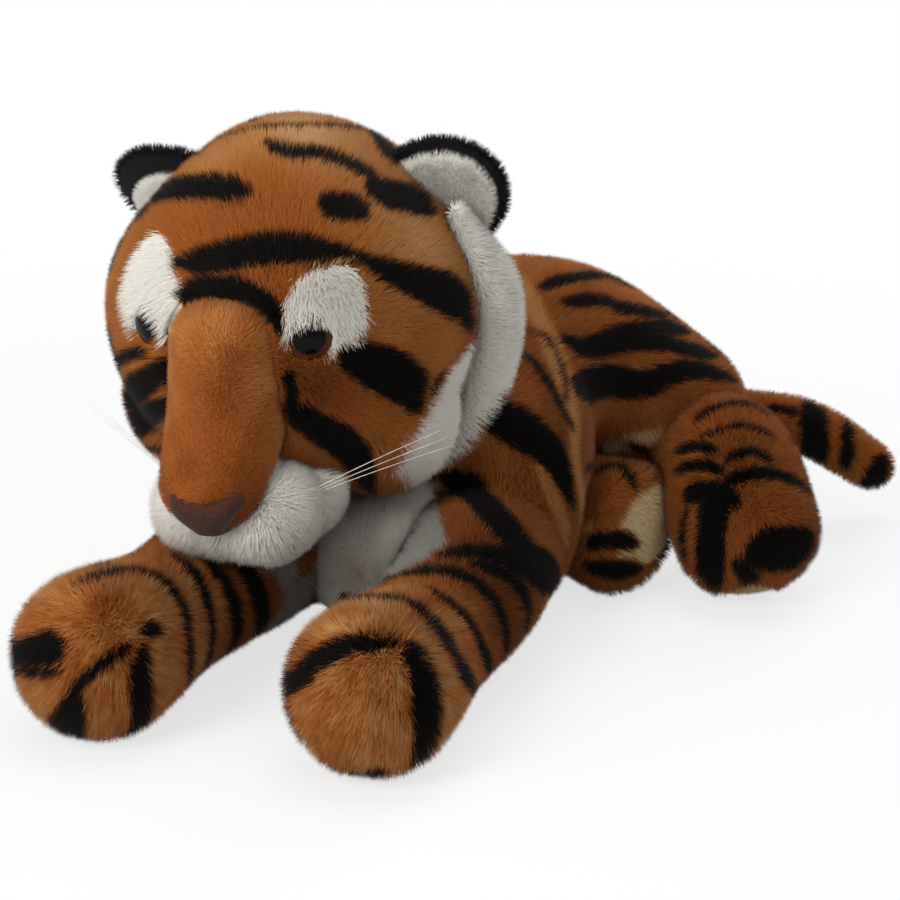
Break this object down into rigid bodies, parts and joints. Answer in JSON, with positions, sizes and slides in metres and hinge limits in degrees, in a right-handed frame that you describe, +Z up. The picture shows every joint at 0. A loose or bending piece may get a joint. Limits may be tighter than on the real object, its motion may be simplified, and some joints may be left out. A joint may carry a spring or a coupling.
{
  "type": "plush tiger",
  "caption": "Stuffed toy tiger lying on its chest with its head bowed, striped orange pile, white cheeks and bib, domed eyes and a tail; head, legs and tail turn on soft joints.",
  "frame": {"origin": "middle of the bounding box at the height of the surface that the toy lies on", "axes": "+Z up, the face towards -Y, the toy's own left side towards +X, hips and tail towards +Y and +X"},
  "size_m": [0.2084, 0.2912, 0.1547],
  "materials": {
    "striped_plush": "orange pile with black stripes",
    "white_plush": "long white pile",
    "black_plush": "black pile",
    "shorn_plush": "short orange pile",
    "nose_velour": "brown velour",
    "cream_sole": "short cream pile",
    "stuffing": "loose polyester fibre",
    "eye": "glossy dome, black pupil in a brown ring",
    "washer": "plain moulded",
    "whisker": "clear nylon strand"
  },
  "bodies": {
    "torso": {"torso_back": "striped_plush", "belly_panel": "white_plush", "torso_stuffing": "stuffing"},
    "neck": {"neck_stuffing": "stuffing"},
    "head": {"head_skin": "striped_plush", "muzzle_bridge": "shorn_plush", "nose": "nose_velour", "head_stuffing": "stuffing", "brow_patch_left": "white_plush", "eye_left": "eye", "eye_washer_left": "washer", "lip_left": "white_plush", "cheek_ruff_left": "white_plush", "ear_back_left": "black_plush", "ear_front_left": "white_plush", "whisker_left_1": "whisker", "whisker_left_2": "whisker", "whisker_left_3": "whisker", "brow_patch_right": "white_plush", "eye_right": "eye", "eye_washer_right": "washer", "lip_right": "white_plush", "cheek_ruff_right": "white_plush", "ear_back_right": "black_plush", "ear_front_right": "white_plush", "whisker_right_1": "whisker", "whisker_right_2": "whisker", "whisker_right_3": "whisker"},
    "foreleg_left": {"foreleg_left_skin": "striped_plush", "foreleg_left_stuffing": "stuffing"},
    "foreleg_right": {"foreleg_right_skin": "striped_plush", "foreleg_right_stuffing": "stuffing"},
    "hindleg_left": {"hindleg_left_skin": "striped_plush", "hindleg_left_sole": "cream_sole", "hindleg_left_stuffing": "stuffing"},
    "hindleg_right": {"hindleg_right_skin": "striped_plush", "hindleg_right_sole": "cream_sole", "hindleg_right_stuffing": "stuffing"},
    "tail": {"tail_skin": "striped_plush", "tail_stuffing": "stuffing"}
  },
  "joints": [
    {"name": "neck_turn", "type": "hinge", "parent": "torso", "child": "neck", "pos_m": [-0.0356, -0.03619, 0.1014], "axis": [0, 0, 1], "range_deg": [-10, 10], "stiffness_Nm_per_rad": 1.5},
    {"name": "head_nod", "type": "hinge", "parent": "neck", "child": "head", "pos_m": [-0.0356, -0.03619, 0.1014], "axis": [0.9994, 0.0349, 0], "range_deg": [-14, 0], "stiffness_Nm_per_rad": 1.5},
    {"name": "foreleg_left_splay", "type": "hinge", "parent": "torso", "child": "foreleg_left", "pos_m": [0.014, 0.00081, 0.042], "axis": [0, 0, 1], "range_deg": [-5, 16], "stiffness_Nm_per_rad": 1},
    {"name": "foreleg_right_splay", "type": "hinge", "parent": "torso", "child": "foreleg_right", "pos_m": [-0.042, -0.00419, 0.042], "axis": [0, 0, 1], "range_deg": [-16, 5], "stiffness_Nm_per_rad": 1},
    {"name": "hindleg_left_splay", "type": "hinge", "parent": "torso", "child": "hindleg_left", "pos_m": [0.053, 0.07781, 0.035], "axis": [0, 0, 1], "range_deg": [0, 14], "stiffness_Nm_per_rad": 1},
    {"name": "hindleg_right_twist", "type": "hinge", "parent": "torso", "child": "hindleg_right", "pos_m": [0.003, 0.07381, 0.034], "axis": [0.6804, -0.701, -0.2134], "range_deg": [-12, 12], "stiffness_Nm_per_rad": 1},
    {"name": "tail_swing", "type": "hinge", "parent": "torso", "child": "tail", "pos_m": [0.053, 0.10581, 0.041], "axis": [0, 0, 1], "range_deg": [-6, 25], "stiffness_Nm_per_rad": 0.3}
  ]
}
